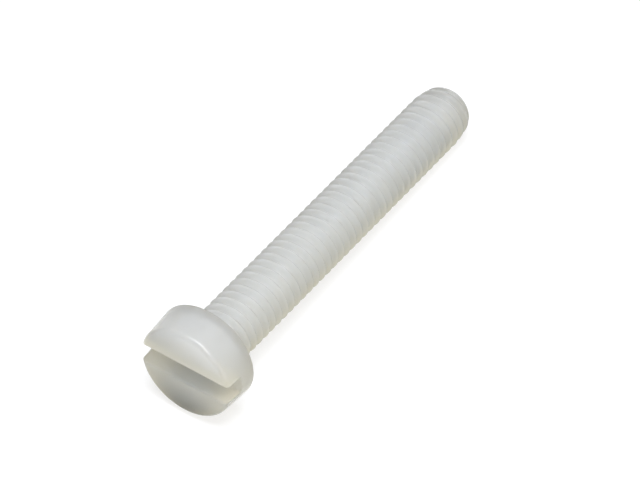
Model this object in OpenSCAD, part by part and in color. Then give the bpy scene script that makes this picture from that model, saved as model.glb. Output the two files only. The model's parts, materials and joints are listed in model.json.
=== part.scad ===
// Slotted cheese-head machine screw, moulded in one piece from natural polyamide.
// It lies on a flat surface, on the rim of its head and on the last thread crest before the tip's taper.
// +X runs along the surface from the head to the tip, and the slot is level, along Y.

/* [Thread] */
// Outer diameter of the thread
thread_d = 5.85; // [5:0.05:7]
// Pitch of the thread
thread_pitch = 1; // [0.8:0.05:1.25]
// Length of the shank, from the underside of the head to the tip
shank_length = 40; // [20:1:48]

/* [Head] */
// Diameter of the head at its underside, before its rim is rounded
head_d = 10.15; // [9.6:0.05:12]
// Height of the head, from its underside to its flat top
head_height = 3.8; // [3.5:0.05:6]
// Lean of the head's side, which narrows towards the top, in degrees
head_draft = 3.25; // [0:0.25:5]
// Radius of the rounding round the top of the head
top_round = 0.5; // [0.3:0.05:1]
// Radius of the rounding round the underside of the head
rim_round = 0.15; // [0.1:0.05:0.6]
// Radius of the fillet where the shank meets the head
neck_fillet = 0.3; // [0.1:0.05:0.5]

/* [Driver slot] */
// Width of the slot between its walls
slot_width = 2; // [1.2:0.05:2.4]
// Depth of the slot below the top of the head
slot_depth = 2; // [1.2:0.1:2.6]
// Radius of the rounding along the mouth of the slot
slot_mouth_round = 0.2; // [0.1:0.05:0.4]
// Radius of the rounding on the upright edges at the ends of the slot
slot_end_round = 0.35; // [0.1:0.05:0.7]
// Radius of the fillets along the floor of the slot
slot_floor_fillet = 0.2; // [0.05:0.05:0.4]

/* [Tip] */
// Length of the taper that leads the thread in
taper_length = 3.2; // [1.5:0.05:5]
// Diameter of the taper at the tip, before its end is rounded
taper_end_d = 4.8; // [4:0.1:4.9]
// Radius of the rounding round the end of the tip
tip_round = 1.9; // [0.5:0.05:1.9]

/* [Hidden] */
$fn = 96;
nylon = [0.86, 0.87, 0.84];

thread_r = thread_d / 2;
head_r = head_d / 2;

// Cutters reach this far past the surface that they cut through
past = 1;

// The thread's form: 60 degrees between its flanks, flat crests of an eighth pitch and narrow roots
flank_angle = 30;
crest_flat = thread_pitch / 8;
thread_depth = 0.6134 * thread_pitch;
root_flat = thread_pitch - crest_flat - 2 * thread_depth * tan(flank_angle);

// The helix of the groove's middle starts past the tip and runs out just short of the neck's fillet.
// A ridge crosses the slot's direction at each whole pitch below the head.
groove_bottom = -(ceil(shank_length / thread_pitch) + 0.5) * thread_pitch;
groove_top = -neck_fillet - thread_pitch / 2;
steps_a_turn = 20;
groove_steps = floor(steps_a_turn * (groove_top - groove_bottom) / thread_pitch);

// The groove gets shallower over this share of its last turn, down to this share of its depth
run_out = 0.5;
least_depth = 0.02;

// The groove's cutter stands this far out of the thread
groove_clearance = 0.09 * thread_pitch;

// A rounding stands out of a sloping side by this hair, so that its arc and the side cross cleanly
hair = 0.0005;

// The taper's slope, and the flat that its end rounding leaves in the middle of the tip
taper_angle = atan((thread_r - taper_end_d / 2) / taper_length);
tip_flat_r = taper_end_d / 2 - tip_round * (1 - sin(taper_angle)) / cos(taper_angle) + hair;

// The head's radius at a height, and how far out a circle is centred that touches its side from within
function side_r(height) = head_r - height * tan(head_draft);
function inside_side(radius, height) = side_r(height) - radius / cos(head_draft) + hair;
rim_centre_r = inside_side(rim_round, rim_round);
top_centre_r = inside_side(top_round, head_height - top_round);

// The side that the screw lies on is this share of a turn from the slot. How many crests that side has
// above the taper, and how far from the bearing face the last of them reaches.
lying_turn = 0.25;
taper_start = shank_length - taper_length;
crests_above = floor((taper_start + crest_flat / 2) / thread_pitch + lying_turn);
rest_crest = min(taper_start, (crests_above - lying_turn) * thread_pitch + crest_flat / 2);

// How far the axis falls towards the tip when the screw lies on its head's rim and on that crest
rim_to_crest_x = rim_round + rest_crest;
rim_to_crest_z = rim_centre_r - thread_r;
lying_angle = atan2(rim_to_crest_z, rim_to_crest_x)
    + asin(rim_round / norm([rim_to_crest_x, rim_to_crest_z]));

// The lying screw's lowest point and its two ends, measured from the middle of the bearing face
lowest = rim_centre_r * cos(lying_angle) + rim_round - rim_round * sin(lying_angle);
head_end = (head_height - top_round) * cos(lying_angle) + top_centre_r * sin(lying_angle) + top_round;
tip_end = (shank_length - tip_round) * cos(lying_angle) + tip_flat_r * sin(lying_angle) + tip_round;

// Centre of the rounding on a slot end's edge, which touches the slot's wall and the head's side
end_centre_y = slot_width / 2 + slot_end_round;
end_centre_r = side_r(head_height - slot_depth) - slot_end_round + hair;
end_centre_x = sqrt(pow(end_centre_r, 2) - pow(end_centre_y, 2));
end_ray = atan2(end_centre_y, end_centre_x);

// The unit vector at an angle, in a plane
function toward(angle) = [cos(angle), sin(angle)];

// What is cut off a corner to round it: a wedge between two rays from the rounding's centre, less
// the rounding's own circle. Each ray meets an edge of the corner squarely.
module corner_cut(centre, radius, ray_1, ray_2) {
    reach = radius + past;
    difference() {
        polygon([
            centre,
            centre + reach * toward(ray_1),
            centre + reach * (toward(ray_1) + toward(ray_2)),
            centre + reach * toward(ray_2)
        ]);
        translate(centre)
            circle(radius);
    }
}

// Half of the screw's outline in the plane of its axis: the bearing face is at 0, the head above it
module outline() {
    difference() {
        polygon([
            [0, head_height],
            [side_r(head_height), head_height],
            [side_r(0), 0],
            [thread_r + neck_fillet, 0],
            [thread_r, -neck_fillet],
            [thread_r, -taper_start],
            [taper_end_d / 2, -shank_length],
            [0, -shank_length]
        ]);
        corner_cut([top_centre_r, head_height - top_round], top_round, head_draft, 90);
        corner_cut([rim_centre_r, rim_round], rim_round, -90, head_draft);
        corner_cut([tip_flat_r, tip_round - shank_length], tip_round, -90, -taper_angle);
        translate([thread_r + neck_fillet, -neck_fillet])
            circle(neck_fillet);
    }
}

// The slot's section across its length: a channel with filleted floor corners and a round mouth
module slot_section() {
    half = slot_width / 2;
    floor_y = head_height - slot_depth;
    difference() {
        translate([-half - slot_mouth_round, floor_y])
            square([slot_width + 2 * slot_mouth_round, slot_depth + past]);
        for (side = [0, 1])
            mirror([side, 0])
                channel_wall(half, floor_y);
    }
}

// One jaw of the head beside the channel, and the fillet at its foot, as they stand in the section
module channel_wall(half, floor_y) {
    mouth_y = head_height - slot_mouth_round;
    translate([half, floor_y - past])
        square([2 * slot_mouth_round, mouth_y - floor_y + past]);
    translate([half + slot_mouth_round, mouth_y])
        circle(slot_mouth_round);
    difference() {
        translate([half - slot_floor_fillet, floor_y - past])
            square([2 * slot_floor_fillet, slot_floor_fillet + past]);
        translate([half - slot_floor_fillet, floor_y + slot_floor_fillet])
            circle(slot_floor_fillet);
    }
}

// Everything that is cut out of the head for the driver
module slot_cut() {
    rotate([90, 0, 90])
        translate([0, 0, -head_r - past])
            linear_extrude(head_d + 2 * past)
                slot_section();
    translate([0, 0, head_height - slot_depth])
        linear_extrude(slot_depth + past)
            for (flip_x = [0, 1], flip_y = [0, 1])
                mirror([flip_x, 0])
                    mirror([0, flip_y])
                        corner_cut([end_centre_x, end_centre_y], slot_end_round, -90, end_ray);
}

// The groove's section at a share of its full depth: its corners' distance from the axis, and their
// height from its middle. Its flanks stay in line at every depth.
function groove_section(share) =
    let (
        widening = tan(flank_angle),
        root_r = thread_r - share * thread_depth,
        root_half = root_flat / 2 + (1 - share) * thread_depth * widening,
        mouth_r = thread_r + groove_clearance,
        mouth_half = root_flat / 2 + (thread_depth + groove_clearance) * widening
    )
    [[mouth_r, -mouth_half], [mouth_r, mouth_half], [root_r, root_half], [root_r, -root_half]];

// The share of its full depth that the groove has at a step along its helix
function depth_share(step) =
    min(1, max(least_depth, (groove_steps - step) / (run_out * steps_a_turn)));

// The helical groove between the thread's ridges, right-handed, from past the tip up to the head
module thread_groove() {
    points = [
        for (step = [0:groove_steps])
            let (turn = 360 * step / steps_a_turn)
            for (corner = groove_section(depth_share(step)))
                [
                    corner[0] * cos(turn),
                    corner[0] * sin(turn),
                    corner[1] + groove_bottom + thread_pitch * step / steps_a_turn
                ]
    ];
    sides = [
        for (step = [0:groove_steps - 1], side = [0:3])
            let (a = 4 * step + side, b = 4 * step + (side + 1) % 4)
            each [[a, b, b + 4], [a, b + 4, a + 4]]
    ];
    last = 4 * groove_steps;
    polyhedron(points, concat(sides, [[3, 2, 1, 0], [last, last + 1, last + 2, last + 3]]));
}

// The screw upright on its axis, head up, with its slot along X
module upright_screw() {
    difference() {
        rotate_extrude()
            outline();
        slot_cut();
        thread_groove();
    }
}

// The screw as it lies, its lowest point at the surface and its length centred on the origin
module screw() {
    color(nylon)
        translate([(head_end - tip_end) / 2, 0, lowest])
            rotate([0, -90 + lying_angle, 0])
                rotate([0, 0, 90])
                    upright_screw();
}

screw();
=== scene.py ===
import json
import math

import bmesh
import bpy
import numpy as np
from mathutils import Matrix, Vector


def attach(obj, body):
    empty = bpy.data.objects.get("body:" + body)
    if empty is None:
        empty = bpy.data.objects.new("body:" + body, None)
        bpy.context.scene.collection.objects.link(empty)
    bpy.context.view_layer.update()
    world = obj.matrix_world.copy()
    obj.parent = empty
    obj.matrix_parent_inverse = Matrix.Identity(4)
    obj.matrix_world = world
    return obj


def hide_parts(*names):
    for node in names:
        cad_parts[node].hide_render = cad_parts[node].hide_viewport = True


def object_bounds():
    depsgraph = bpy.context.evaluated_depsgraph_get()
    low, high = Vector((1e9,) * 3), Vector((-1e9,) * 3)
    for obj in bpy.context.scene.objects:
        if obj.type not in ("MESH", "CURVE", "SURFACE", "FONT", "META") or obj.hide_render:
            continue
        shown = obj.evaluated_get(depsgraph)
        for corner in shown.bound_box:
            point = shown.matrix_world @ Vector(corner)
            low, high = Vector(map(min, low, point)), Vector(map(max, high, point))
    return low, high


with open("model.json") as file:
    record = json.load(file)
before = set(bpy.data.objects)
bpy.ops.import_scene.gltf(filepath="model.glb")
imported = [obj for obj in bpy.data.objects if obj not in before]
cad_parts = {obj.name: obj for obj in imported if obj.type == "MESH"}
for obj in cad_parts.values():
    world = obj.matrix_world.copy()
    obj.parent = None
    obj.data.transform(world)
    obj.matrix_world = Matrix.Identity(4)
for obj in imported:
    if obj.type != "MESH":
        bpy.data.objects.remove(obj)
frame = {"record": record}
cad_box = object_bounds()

# The screw's own sizes, in millimetres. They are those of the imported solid.
THREAD_R = 2.925
PITCH = 1.0
SHANK_LENGTH = 40.0
HEAD_R = 5.075
HEAD_HEIGHT = 3.8
HEAD_DRAFT = 3.25
TOP_ROUND = 0.5
RIM_ROUND = 0.15
NECK_FILLET = 0.3
SLOT_WIDTH = 2.0
SLOT_DEPTH = 2.0
SLOT_MOUTH_ROUND = 0.2
SLOT_END_ROUND = 0.35
SLOT_FLOOR_FILLET = 0.2
TAPER_LENGTH = 3.2
TAPER_END_R = 2.4
TIP_ROUND = 1.9

# The thread: a 60 degree form with flat crests of an eighth pitch, softened by the mould over
# this share of the pitch to either side. Its groove runs out over half a turn below the head.
THREAD_DEPTH = 0.6134 * PITCH
CREST_FLAT = PITCH / 8
FLANK_ANGLE = math.radians(30)
CREST_SOFTNESS = 0.11
GROOVE_TOP = -NECK_FILLET - PITCH / 2
RUN_OUT = 0.5 * PITCH

# Mesh fineness: steps round the shank and the head, rows of the shank a pitch, steps of each
# rounding, samples of the softened thread, and the head's remeshing
SHANK_STEPS = 96
HEAD_STEPS = 128
ROWS_A_PITCH = 12
RIM_STEPS = 8
TOP_STEPS = 10
FILLET_STEPS = 5
MOUTH_STEPS = 6
JAW_STEPS = 8
SOFT_SAMPLES = 9
VOXEL = 0.07
SMOOTH_FACTOR = 0.5
SMOOTH_ROUNDS = 4
HEAD_KEEP = 0.3

# How far the cutters stand out of the head, and the jaw's cutter past the slot's middle
CUT_PAST = 1.0
MOUTH_PAST = 0.5
MIDDLE_PAST = 0.1

# The mouth's rounding stops short of level, so that it meets the top at a clean edge
MOUTH_END_ANGLE = 92

# The shank's mesh is closed by a plug that reaches this share of the head's height into the head
PLUG_SHARE = 0.2
MERGE_DISTANCE = 1e-6
END_DISTANCE = 1e-5

MM = 0.001

# The photograph's frame and camera
PHOTO_W, PHOTO_H = 640, 490
SENSOR_MM = 36.0
PIXELS_A_MM = 11.073
EYE_DISTANCE = 451.55
VIEW_AZIMUTH = math.radians(34.784)
VIEW_ELEVATION = math.radians(48.104)
VIEW_ROLL = math.radians(0.182)
BEARING_PIXEL = (208.55, 349.63)

CLIP_START, CLIP_END = 0.01, 20

# The nylon: its gloss, how far light of each colour scatters in it, and its colours
ROUGHNESS = 0.22
INDEX = 1.53
GLOSS_LEVEL = 0.35
SCATTER_REACH = 0.05
SCATTER_COLOURS = (1.0, 0.92, 0.82)
CLOUD_SCALE, CLOUD_DETAIL = 260.0, 2.0
CLOUD_LOW = (0.85, 0.85, 0.80, 1)
CLOUD_HIGH = (0.88, 0.88, 0.83, 1)

# The fine grain of the moulded surface, with its height in metres
GRAIN_SCALE, GRAIN_DETAIL = 2500.0, 3.0
GRAIN_STRENGTH = 0.15
GRAIN_HEIGHT = 0.00002

# The floor: what it shows is its glow and its shade together, and it casts a warmer light
FLOOR_SIZE = 4
FLOOR_SHADE = (0.35, 0.35, 0.35, 1)
FLOOR_GLOW = 0.7
FLOOR_BOUNCE = (0.58, 0.55, 0.42, 1)
WHITE = (1, 1, 1, 1)

# The surround's light. Its background shows at a strength of 1, which is white.
SURROUND_LIGHT = 0.08

# The lamps stand at this distance from the screw, in metres. Each has its size, power and tint,
# and those in the sky their elevation and azimuth in degrees. The glint stands at the camera.
LAMP_DISTANCE = 0.6
GLINT = (0.03, 0.8, (1, 1, 1))
OVERHEAD_PLACE = (80, 225)
OVERHEAD = (0.35, 3.4, (1, 1.03, 1.12))
LOW_PLACE = (20, 240)
LOW = (0.3, 0.6, (1, 0.84, 0.55))


def arc(centre, radius, start, end, steps):
    """Points along an arc in a plane, with angles in degrees."""
    turns = np.radians(np.linspace(start, end, steps + 1))
    return [(centre[0] + radius * math.cos(a), centre[1] + radius * math.sin(a)) for a in turns]


def mesh_object(name, points, faces):
    """A mesh object from points in millimetres along the screw's own axis."""
    mesh = bpy.data.meshes.new(name)
    mesh.from_pydata([tuple(p) for p in points], [], faces)
    obj = bpy.data.objects.new(name, mesh)
    bpy.context.scene.collection.objects.link(obj)
    return obj


def turned(name, outline, around):
    """A closed solid turned round Z from an outline of (radius, height) whose ends are on the axis."""
    inner = outline[1:-1]
    points = [(0, 0, outline[0][1])]
    for radius, height in inner:
        for step in range(around):
            turn = 2 * math.pi * step / around
            points.append((radius * math.cos(turn), radius * math.sin(turn), height))
    points.append((0, 0, outline[-1][1]))
    faces = []
    for row in range(len(inner) - 1):
        for step in range(around):
            a = 1 + row * around + step
            b = 1 + row * around + (step + 1) % around
            faces.append((a, b, b + around, a + around))
    last = 1 + (len(inner) - 1) * around
    for step in range(around):
        after = (step + 1) % around
        faces.append((0, 1 + after, 1 + step))
        faces.append((len(points) - 1, last + step, last + after))
    return mesh_object(name, points, faces)


def prism(name, outline, low, high, place):
    """A closed prism of a plane outline from low to high, moved by a matrix."""
    count = len(outline)
    points = [place @ Vector((x, y, z)) for z in (low, high) for x, y in outline]
    faces = [tuple(reversed(range(count))), tuple(range(count, 2 * count))]
    for step in range(count):
        after = (step + 1) % count
        faces.append((step, after, count + after, count + step))
    return mesh_object(name, points, faces)


def baked(obj, modifiers):
    """The object's mesh with modifiers of the given kinds and settings applied."""
    for kind, settings in modifiers:
        modifier = obj.modifiers.new(kind.lower(), kind)
        for key, value in settings.items():
            setattr(modifier, key, value)
    graph = bpy.context.evaluated_depsgraph_get()
    mesh = bpy.data.meshes.new_from_object(obj.evaluated_get(graph))
    obj.modifiers.clear()
    obj.data = mesh
    return obj


def combine(obj, other, operation):
    """Cuts another solid from obj, or joins it to obj, and deletes the other."""
    baked(obj, [("BOOLEAN", {"object": other, "operation": operation, "solver": "EXACT"})])
    bpy.data.objects.remove(other)
    return obj


def inside_side(radius, height):
    """How far from the axis a circle is centred that touches the head's leaning side from within."""
    lean = math.radians(HEAD_DRAFT)
    return HEAD_R - height * math.tan(lean) - radius / math.cos(lean)


def head_outline():
    """The head's outline from the middle of its underside to the middle of its top."""
    rim_r = inside_side(RIM_ROUND, RIM_ROUND)
    top_r = inside_side(TOP_ROUND, HEAD_HEIGHT - TOP_ROUND)
    points = [(0, 0), (rim_r * 0.5, 0)]
    points += arc((rim_r, RIM_ROUND), RIM_ROUND, -90, HEAD_DRAFT, RIM_STEPS)
    points += arc((top_r, HEAD_HEIGHT - TOP_ROUND), TOP_ROUND, HEAD_DRAFT, 90, TOP_STEPS)
    points += [(top_r * 0.5, HEAD_HEIGHT), (0, HEAD_HEIGHT)]
    return points


def slot_outline():
    """The slot's section: filleted corners at the floor, and a mouth that rounds out to the top."""
    half = SLOT_WIDTH / 2
    floor = HEAD_HEIGHT - SLOT_DEPTH
    corner = (half - SLOT_FLOOR_FILLET, floor + SLOT_FLOOR_FILLET)
    right = arc(corner, SLOT_FLOOR_FILLET, -90, 0, FILLET_STEPS)
    mouth = (half + SLOT_MOUTH_ROUND, HEAD_HEIGHT - SLOT_MOUTH_ROUND)
    right += arc(mouth, SLOT_MOUTH_ROUND, 180, MOUTH_END_ANGLE, MOUTH_STEPS)
    right += [(half + SLOT_MOUTH_ROUND, HEAD_HEIGHT + MOUTH_PAST)]
    return right + [(-x, y) for x, y in reversed(right)]


def slot_end_outline():
    """What the rounding takes off the plan of a jaw, at one end of the slot."""
    reach = SLOT_END_ROUND + CUT_PAST
    y = SLOT_WIDTH / 2 + SLOT_END_ROUND
    x = math.sqrt(inside_side(SLOT_END_ROUND, HEAD_HEIGHT - SLOT_DEPTH) ** 2 - y**2)
    ray = math.atan2(y, x)
    curve = arc((x, y), SLOT_END_ROUND, math.degrees(ray), -90, JAW_STEPS)
    return curve + [
        (x, -MIDDLE_PAST),
        (x + reach, -MIDDLE_PAST),
        (x + reach * math.cos(ray), y + reach * math.sin(ray)),
    ]


def make_head():
    """The slotted head, its edges softened as a mould leaves them."""
    head = turned("head", head_outline(), HEAD_STEPS)
    across = Matrix.Rotation(math.pi / 2, 4, "Y") @ Matrix.Rotation(math.pi / 2, 4, "Z")
    reach = HEAD_R + CUT_PAST
    combine(head, prism("slot", slot_outline(), -reach, reach, across), "DIFFERENCE")
    low, high = HEAD_HEIGHT - SLOT_DEPTH, HEAD_HEIGHT + CUT_PAST
    for flip_x, flip_y in ((1, 1), (-1, 1), (-1, -1), (1, -1)):
        outline = [(x * flip_x, y * flip_y) for x, y in slot_end_outline()]
        if flip_x * flip_y > 0:
            outline.reverse()
        combine(head, prism("slot_end", outline, low, high, Matrix()), "DIFFERENCE")
    return baked(
        head,
        [
            ("REMESH", {"mode": "VOXEL", "voxel_size": VOXEL, "use_smooth_shade": True}),
            ("SMOOTH", {"factor": SMOOTH_FACTOR, "iterations": SMOOTH_ROUNDS}),
            ("DECIMATE", {"ratio": HEAD_KEEP}),
        ],
    )


def thread_cut(turns, first_ridge):
    """How far the thread's form lies below its crest, some turns up from the first ridge's height."""
    away = np.abs((turns + 0.5) % 1.0 - 0.5) * PITCH
    slope = (away - CREST_FLAT / 2) / math.tan(FLANK_ANGLE)
    groove_middle = first_ridge + (np.floor(turns) + 0.5) * PITCH
    share = np.clip((GROOVE_TOP - groove_middle) / RUN_OUT, 0, 1)
    return np.clip(slope, 0, share * THREAD_DEPTH)


def soft_thread_cut(turns, first_ridge):
    """The same form with its corners softened, as an average over a short stretch of the pitch."""
    spread = np.linspace(-1, 1, SOFT_SAMPLES) * CREST_SOFTNESS
    return np.mean([thread_cut(turns + s, first_ridge) for s in spread], axis=0)


def shank_limit(height):
    """The radius that nothing on the shank stands out of, at a height below the head."""
    taper = math.atan2(THREAD_R - TAPER_END_R, TAPER_LENGTH)
    flat_r = TAPER_END_R - TIP_ROUND * (1 - math.sin(taper)) / math.cos(taper)
    below = height + SHANK_LENGTH
    cone = THREAD_R - np.clip(TAPER_LENGTH - below, 0, None) * math.tan(taper)
    in_round = np.clip(TIP_ROUND - below, 0, TIP_ROUND)
    end = flat_r + np.sqrt(TIP_ROUND**2 - in_round**2)
    return np.where(below < TIP_ROUND * (1 - math.sin(taper)), end, cone)


def make_shank():
    """The threaded shank, as rows of points that follow the helix from the tip to inside the head."""
    turns = math.ceil(SHANK_LENGTH / PITCH) + 1
    rows = turns * ROWS_A_PITCH
    row, step = np.meshgrid(np.arange(rows + 1), np.arange(SHANK_STEPS), indexing="ij")
    lead = step / SHANK_STEPS
    first_ridge = (lead - turns) * PITCH
    height = first_ridge + row / ROWS_A_PITCH * PITCH
    inside = np.clip(height, -SHANK_LENGTH, 0)
    radius = THREAD_R - soft_thread_cut(row / ROWS_A_PITCH, first_ridge)
    radius = np.minimum(radius, shank_limit(inside))
    neck = np.clip(NECK_FILLET + inside, 0, NECK_FILLET)
    radius = radius + NECK_FILLET - np.sqrt(NECK_FILLET**2 - neck**2)
    turn = 2 * np.pi * lead
    grid = np.stack([radius * np.cos(turn), radius * np.sin(turn), inside], -1)
    points = [tuple(p) for p in grid.reshape(-1, 3)]
    faces = []
    for r in range(rows):
        for s in range(SHANK_STEPS - 1):
            a = r * SHANK_STEPS + s
            faces.append((a, a + 1, a + 1 + SHANK_STEPS, a + SHANK_STEPS))
    for r in range(rows - ROWS_A_PITCH):
        a = r * SHANK_STEPS + SHANK_STEPS - 1
        b = (r + ROWS_A_PITCH) * SHANK_STEPS
        faces.append((a, b, b + SHANK_STEPS, a + SHANK_STEPS))
    return points, faces


def shank_object():
    """The shank as a closed mesh, with a disc at its tip and a plug at the end inside the head."""
    obj = mesh_object("shank", *make_shank())
    work = bmesh.new()
    work.from_mesh(obj.data)
    bmesh.ops.remove_doubles(work, verts=work.verts, dist=MERGE_DISTANCE)
    bmesh.ops.dissolve_degenerate(work, dist=MERGE_DISTANCE, edges=work.edges)
    low = {v for v in work.verts if v.co.z < -SHANK_LENGTH + END_DISTANCE}
    high = {v for v in work.verts if v.co.z > -END_DISTANCE}
    loose = [f for f in work.faces if low.issuperset(f.verts) or high.issuperset(f.verts)]
    bmesh.ops.delete(work, geom=loose, context="FACES")
    bmesh.ops.delete(work, geom=[v for v in work.verts if not v.link_faces], context="VERTS")
    open_edges = [e for e in work.edges if e.is_boundary]
    rim = [e for e in open_edges if min(v.co.z for v in e.verts) > -PITCH]
    made = bmesh.ops.extrude_edge_only(work, edges=rim)
    plug = [item for item in made["geom"] if isinstance(item, bmesh.types.BMVert)]
    bmesh.ops.translate(work, vec=(0, 0, HEAD_HEIGHT * PLUG_SHARE), verts=plug)
    bmesh.ops.holes_fill(work, edges=[e for e in work.edges if e.is_boundary])
    bmesh.ops.recalc_face_normals(work, faces=work.faces)
    work.to_mesh(obj.data)
    work.free()
    return obj


def lying_place():
    """The matrix from the screw's own axis, in millimetres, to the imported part's place, in metres,
    and the middle of its bearing face."""
    mounts = {m["name"]: m for m in frame["record"]["mounts"]}
    axis = Vector(mounts["thread"]["axis"]).normalized()
    on_axis = Vector(mounts["thread"]["pos_m"])
    face = Vector(mounts["bearing_face"]["pos_m"])
    centre = on_axis + axis * (face - on_axis).dot(axis)
    up_axis = -axis
    slot = Vector((0, 1, 0))
    third = up_axis.cross(slot)
    turn = Matrix((slot, third, up_axis)).transposed().to_4x4()
    return Matrix.Translation(centre) @ turn @ Matrix.Scale(MM, 4), centre


def nylon_material():
    """Natural moulded nylon: milky, softly glossy, and translucent enough to glow at its thin edges."""
    material = bpy.data.materials.new("nylon")
    material.use_nodes = True
    nodes, links = material.node_tree.nodes, material.node_tree.links
    shader = nodes["Principled BSDF"]
    shader.inputs["Roughness"].default_value = ROUGHNESS
    shader.inputs["IOR"].default_value = INDEX
    shader.inputs["Specular IOR Level"].default_value = GLOSS_LEVEL
    shader.inputs["Subsurface Weight"].default_value = 1.0
    shader.inputs["Subsurface Radius"].default_value = SCATTER_COLOURS
    shader.inputs["Subsurface Scale"].default_value = SCATTER_REACH
    place = nodes.new("ShaderNodeTexCoord")
    cloud = nodes.new("ShaderNodeTexNoise")
    cloud.inputs["Scale"].default_value = CLOUD_SCALE
    cloud.inputs["Detail"].default_value = CLOUD_DETAIL
    tint = nodes.new("ShaderNodeValToRGB")
    tint.color_ramp.elements[0].color = CLOUD_LOW
    tint.color_ramp.elements[1].color = CLOUD_HIGH
    links.new(place.outputs["Object"], cloud.inputs["Vector"])
    links.new(cloud.outputs["Fac"], tint.inputs["Fac"])
    links.new(tint.outputs["Color"], shader.inputs["Base Color"])
    grain = nodes.new("ShaderNodeTexNoise")
    grain.inputs["Scale"].default_value = GRAIN_SCALE
    grain.inputs["Detail"].default_value = GRAIN_DETAIL
    bump = nodes.new("ShaderNodeBump")
    bump.inputs["Strength"].default_value = GRAIN_STRENGTH
    bump.inputs["Distance"].default_value = GRAIN_HEIGHT
    links.new(place.outputs["Object"], grain.inputs["Vector"])
    links.new(grain.outputs["Fac"], bump.inputs["Height"])
    links.new(bump.outputs["Normal"], shader.inputs["Normal"])
    return material


def add_screw():
    """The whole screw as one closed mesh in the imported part's place, and its bearing face's middle."""
    place, centre = lying_place()
    screw = make_head()
    combine(screw, shank_object(), "UNION")
    screw.name = "screw_moulding"
    screw.data.transform(place)
    screw.data.shade_smooth()
    screw.data.materials.clear()
    screw.data.materials.append(nylon_material())
    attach(screw, "root")
    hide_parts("screw")
    return centre


def add_camera(bearing_centre):
    """The camera, set so that the middle of the bearing face shows at its pixel of the photograph."""
    view = Vector((
        math.cos(VIEW_ELEVATION) * math.cos(VIEW_AZIMUTH),
        math.cos(VIEW_ELEVATION) * math.sin(VIEW_AZIMUTH),
        -math.sin(VIEW_ELEVATION),
    ))
    level_right = view.cross(Vector((0, 0, 1))).normalized()
    roll = Matrix.Rotation(VIEW_ROLL, 3, view)
    right = roll @ level_right
    up = right.cross(view)
    data = bpy.data.cameras.new("camera")
    data.sensor_width = SENSOR_MM
    data.lens = SENSOR_MM * PIXELS_A_MM * EYE_DISTANCE / PHOTO_W
    data.clip_start = CLIP_START
    data.clip_end = CLIP_END
    camera = bpy.data.objects.new("camera", data)
    bpy.context.scene.collection.objects.link(camera)
    aside = (BEARING_PIXEL[0] - PHOTO_W / 2) / PIXELS_A_MM
    above = (PHOTO_H / 2 - BEARING_PIXEL[1]) / PIXELS_A_MM
    eye = bearing_centre - (view * EYE_DISTANCE + right * aside + up * above) * MM
    turn = Matrix((right, up, -view)).transposed().to_4x4()
    camera.matrix_world = Matrix.Translation(eye) @ turn
    bpy.context.scene.camera = camera
    return camera


def shown_directly(nodes, links):
    """A socket that is 1 for rays that show the background in the picture, in gloss or through glass."""
    path = nodes.new("ShaderNodeLightPath")
    seen = path.outputs["Is Camera Ray"]
    for kind in ("Is Glossy Ray", "Is Transmission Ray"):
        either = nodes.new("ShaderNodeMath")
        either.operation = "MAXIMUM"
        links.new(seen, either.inputs[0])
        links.new(path.outputs[kind], either.inputs[1])
        seen = either.outputs[0]
    return seen


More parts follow.
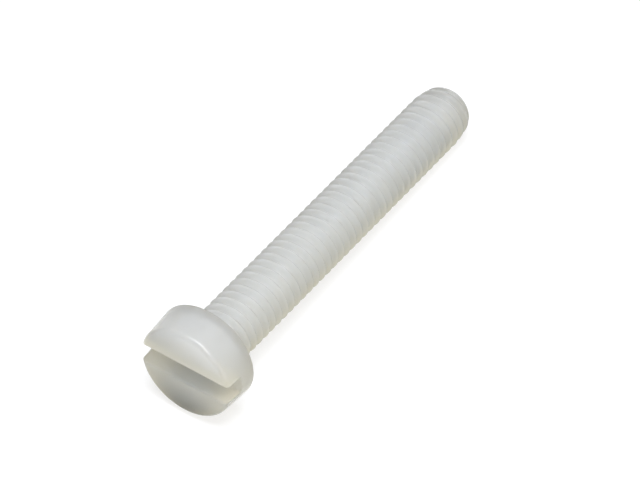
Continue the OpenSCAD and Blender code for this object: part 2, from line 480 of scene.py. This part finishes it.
def add_floor():
    """A pale floor that shows white but keeps the screw's shadow."""
    bpy.ops.mesh.primitive_plane_add(size=FLOOR_SIZE)
    floor = bpy.context.object
    floor.name = "floor"
    material = bpy.data.materials.new("floor")
    material.use_nodes = True
    nodes, links = material.node_tree.nodes, material.node_tree.links
    nodes.clear()
    out = nodes.new("ShaderNodeOutputMaterial")
    seen = nodes.new("ShaderNodeAddShader")
    pale = nodes.new("ShaderNodeBsdfDiffuse")
    pale.inputs["Color"].default_value = FLOOR_SHADE
    glow = nodes.new("ShaderNodeEmission")
    glow.inputs["Color"].default_value = WHITE
    glow.inputs["Strength"].default_value = FLOOR_GLOW
    links.new(pale.outputs["BSDF"], seen.inputs[0])
    links.new(glow.outputs["Emission"], seen.inputs[1])
    lit = nodes.new("ShaderNodeBsdfDiffuse")
    lit.inputs["Color"].default_value = FLOOR_BOUNCE
    mix = nodes.new("ShaderNodeMixShader")
    links.new(shown_directly(nodes, links), mix.inputs["Fac"])
    links.new(lit.outputs["BSDF"], mix.inputs[1])
    links.new(seen.outputs["Shader"], mix.inputs[2])
    links.new(mix.outputs["Shader"], out.inputs["Surface"])
    floor.data.materials.append(material)


def add_light(name, toward, aim, size, power, tint):
    """A square soft lamp that stands off its aim in a direction and is turned to it."""
    place = aim + toward * LAMP_DISTANCE
    data = bpy.data.lights.new(name, "AREA")
    data.size = size
    data.energy = power
    data.color = tint
    lamp = bpy.data.objects.new(name, data)
    bpy.context.scene.collection.objects.link(lamp)
    lamp.location = place
    lamp.rotation_euler = (aim - place).to_track_quat("-Z", "Y").to_euler()


def from_sky(elevation, azimuth):
    """The unit vector toward a place in the sky, from its two angles in degrees."""
    rise, turn = math.radians(elevation), math.radians(azimuth)
    return Vector((math.cos(rise) * math.cos(turn), math.cos(rise) * math.sin(turn), math.sin(rise)))


def add_world():
    """An even surround that lights a little and shows white."""
    world = bpy.data.worlds.new("surround")
    bpy.context.scene.world = world
    world.use_nodes = True
    nodes, links = world.node_tree.nodes, world.node_tree.links
    back = nodes["Background"]
    back.inputs["Color"].default_value = WHITE
    level = nodes.new("ShaderNodeMapRange")
    level.inputs["To Min"].default_value = SURROUND_LIGHT
    level.inputs["To Max"].default_value = 1.0
    links.new(shown_directly(nodes, links), level.inputs["Value"])
    links.new(level.outputs["Result"], back.inputs["Strength"])


bearing_centre = add_screw()
camera = add_camera(bearing_centre)
add_floor()
add_world()
middle = (Vector(cad_box[0]) + Vector(cad_box[1])) / 2
toward_camera = (camera.location - middle).normalized()
add_light("glint", toward_camera, middle, *GLINT)
add_light("overhead", from_sky(*OVERHEAD_PLACE), middle, *OVERHEAD)
add_light("low", from_sky(*LOW_PLACE), middle, *LOW)
bpy.context.scene.view_settings.view_transform = "Standard"

bpy.context.view_layer.update()
